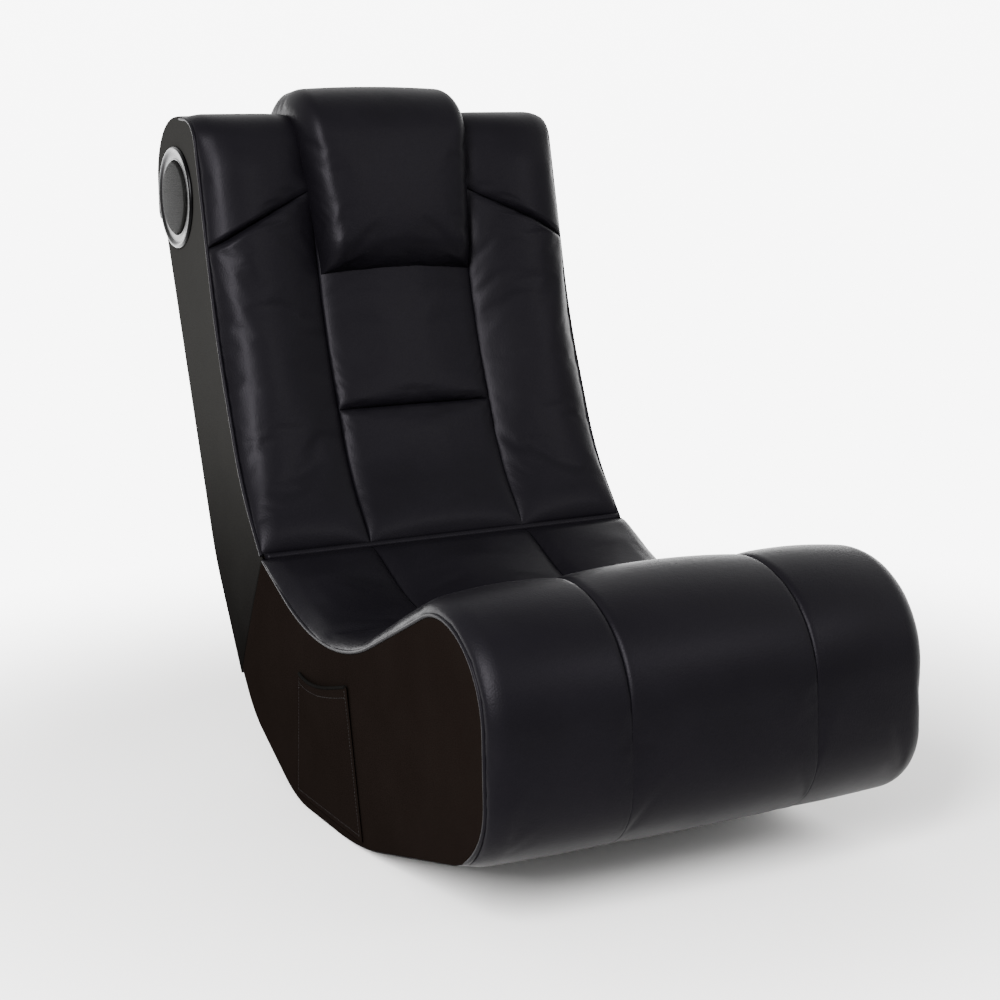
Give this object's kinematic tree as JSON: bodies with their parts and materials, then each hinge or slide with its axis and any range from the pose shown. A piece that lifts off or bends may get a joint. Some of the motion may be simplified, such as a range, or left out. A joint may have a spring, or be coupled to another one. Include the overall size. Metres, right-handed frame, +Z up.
{
  "type": "floor rocker chair",
  "caption": "Padded legless floor rocker with a rolled front, curved base, winged high back with headrest, side speakers and a side pocket; the back folds down onto the seat.",
  "frame": {"origin": "on the floor under the middle of the chair's box", "axes": "+Z up; the sitter faces -Y; +X is the sitter's left"},
  "size_m": [0.522, 0.9989, 0.8493],
  "materials": {
    "pad_leather": "satin",
    "side_leather": "matte",
    "piping_cord": "satin",
    "base_cloth": "matte",
    "board_wood": "raw",
    "foam": "matte",
    "webbing": "matte",
    "hinge_steel": "zinc plated",
    "speaker_ring": "silver",
    "speaker_mesh": "matte",
    "driver_frame": "satin",
    "driver_magnet": "bare",
    "cone_paper": "matte",
    "panel_plastic": "matte",
    "jack_metal": "nickel",
    "lead_rubber": "matte"
  },
  "bodies": {
    "seat": {"seat_pad_centre": "pad_leather", "seat_pad_right": "pad_leather", "seat_pad_left": "pad_leather", "seat_side_board_right": "board_wood", "seat_side_board_left": "board_wood", "seat_side_cover_right": "side_leather", "seat_side_cover_left": "side_leather", "rocker_base_cover": "base_cloth", "rocker_base_board": "board_wood", "seat_foam": "foam", "roll_foam": "foam", "seat_hinge_rail": "board_wood", "seat_front_board": "board_wood", "seat_base_rail": "board_wood", "seat_webbing": "webbing", "seat_hinge_leaves": "hinge_steel", "seat_frame_screws": "hinge_steel", "hinge_pins": "hinge_steel", "crease_gusset": "base_cloth", "seat_closing_cover": "base_cloth", "seat_piping": "piping_cord", "side_pocket": "side_leather"},
    "back": {"back_pad_lower": "pad_leather", "back_pad_upper": "pad_leather", "headrest": "pad_leather", "back_bolster_right": "pad_leather", "back_bolster_left": "pad_leather", "back_wing_right": "pad_leather", "back_wing_left": "pad_leather", "back_side_board_right": "board_wood", "back_side_board_left": "board_wood", "back_side_cover_right": "side_leather", "back_side_cover_left": "side_leather", "back_rear_cover": "side_leather", "back_rear_board": "board_wood", "back_foam": "foam", "back_hinge_rail": "board_wood", "back_middle_rail": "board_wood", "back_top_rail": "board_wood", "back_webbing": "webbing", "back_hinge_leaves": "hinge_steel", "back_frame_screws": "hinge_steel", "back_closing_cover": "base_cloth", "back_piping": "piping_cord", "speaker_bezel_right": "speaker_ring", "speaker_bezel_left": "speaker_ring", "speaker_grille_right": "speaker_mesh", "speaker_grille_left": "speaker_mesh", "speaker_baskets": "driver_frame", "speaker_magnets": "driver_magnet", "speaker_screws": "hinge_steel", "control_panel": "panel_plastic", "amplifier_box": "panel_plastic", "input_jack": "jack_metal", "speaker_leads": "lead_rubber"},
    "cone_right": {"speaker_cone_right": "cone_paper"},
    "cone_left": {"speaker_cone_left": "cone_paper"},
    "knob": {"volume_knob": "panel_plastic"},
    "button": {"power_button": "panel_plastic"}
  },
  "joints": [
    {"name": "back_fold", "type": "hinge", "parent": "seat", "child": "back", "pos_m": [0, 0.14605, 0.28152], "axis": [1, 0, 0], "range_deg": [0, 90]},
    {"name": "cone_right_travel", "type": "slide", "parent": "back", "child": "cone_right", "axis": [-1, 0, 0], "range_m": [-0.0015, 0.0015], "stiffness_N_per_m": 500},
    {"name": "cone_left_travel", "type": "slide", "parent": "back", "child": "cone_left", "axis": [1, 0, 0], "range_m": [-0.0015, 0.0015], "stiffness_N_per_m": 500},
    {"name": "knob_turn", "type": "hinge", "parent": "back", "child": "knob", "pos_m": [0.2475, 0.3292, 0.42279], "axis": [1, 0, 0], "range_deg": [0, 300]},
    {"name": "button_press", "type": "slide", "parent": "back", "child": "button", "axis": [-1, 0, 0], "range_m": [0, 0.0015], "stiffness_N_per_m": 400}
  ]
}
